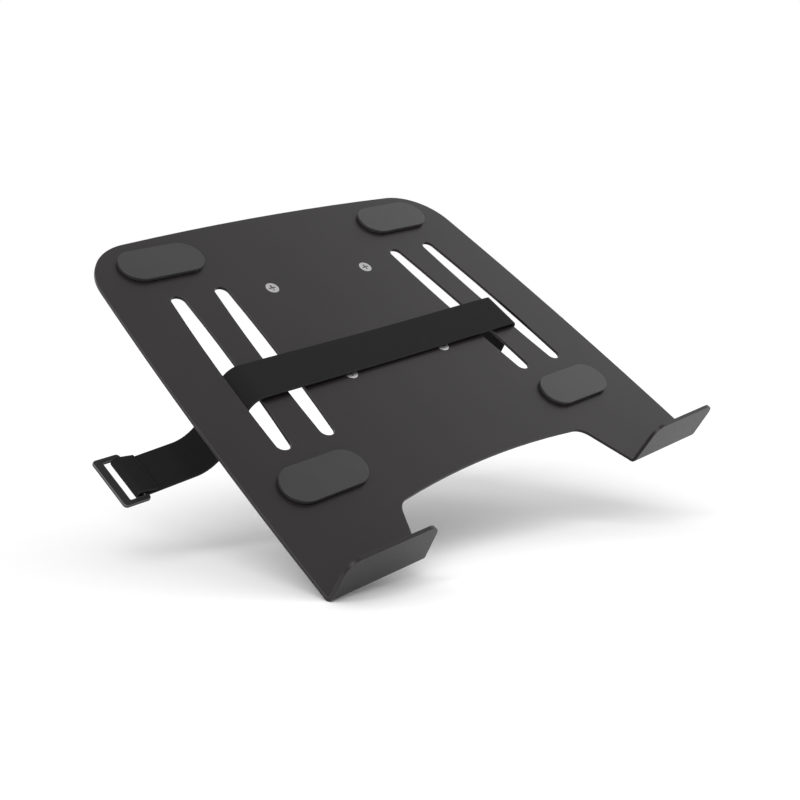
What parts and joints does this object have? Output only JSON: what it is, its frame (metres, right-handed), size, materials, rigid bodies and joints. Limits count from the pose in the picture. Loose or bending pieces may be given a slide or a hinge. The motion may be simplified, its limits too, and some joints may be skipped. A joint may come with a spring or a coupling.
{
  "type": "laptop tray",
  "caption": "Steel tray with an arched notch, two front lips, splayed strap slots, stick-on pads and countersunk screws, and a hook-and-loop strap that ends in a ring.",
  "frame": {"origin": "centre of the square screw pattern, on the plate's underside, where the arm's head plate seats", "axes": "+X to the right along the tray's width, +Y towards its arched back edge, +Z out of the plate towards the laptop"},
  "size_m": [0.3311, 0.2559, 0.1238],
  "materials": {
    "powder_coat": "matte charcoal powder coat",
    "pad_rubber": "matt moulded",
    "adhesive": "thin film",
    "zinc_steel": "bright zinc plated",
    "webbing": "looped pile on woven tape",
    "hook_tape": "rows of small hooks",
    "thread": "twisted thread",
    "ring_plastic": "satin black moulding"
  },
  "bodies": {
    "tray": {"tray_plate": "powder_coat", "pad_rear_left": "pad_rubber", "pad_rear_right": "pad_rubber", "pad_front_left": "pad_rubber", "pad_front_right": "pad_rubber", "film_rear_left": "adhesive", "film_rear_right": "adhesive", "film_front_left": "adhesive", "film_front_right": "adhesive", "screw_rear_left": "zinc_steel", "screw_rear_right": "zinc_steel", "screw_front_left": "zinc_steel", "screw_front_right": "zinc_steel"},
    "strap": {"strap_webbing": "webbing", "strap_hook_patch": "hook_tape", "loop_stitching": "thread", "patch_stitching": "thread"},
    "ring": {"strap_ring": "ring_plastic"}
  },
  "joints": [
    {"name": "strap_slide", "type": "slide", "parent": "tray", "child": "strap", "axis": [0, 1, 0], "range_m": [-0.0015, 0.012]},
    {"name": "ring_swing", "type": "hinge", "parent": "strap", "child": "ring", "pos_m": [-0.16237, -0.0262, -0.04457], "axis": [0, 1, 0], "range_deg": [-150, 160]}
  ]
}
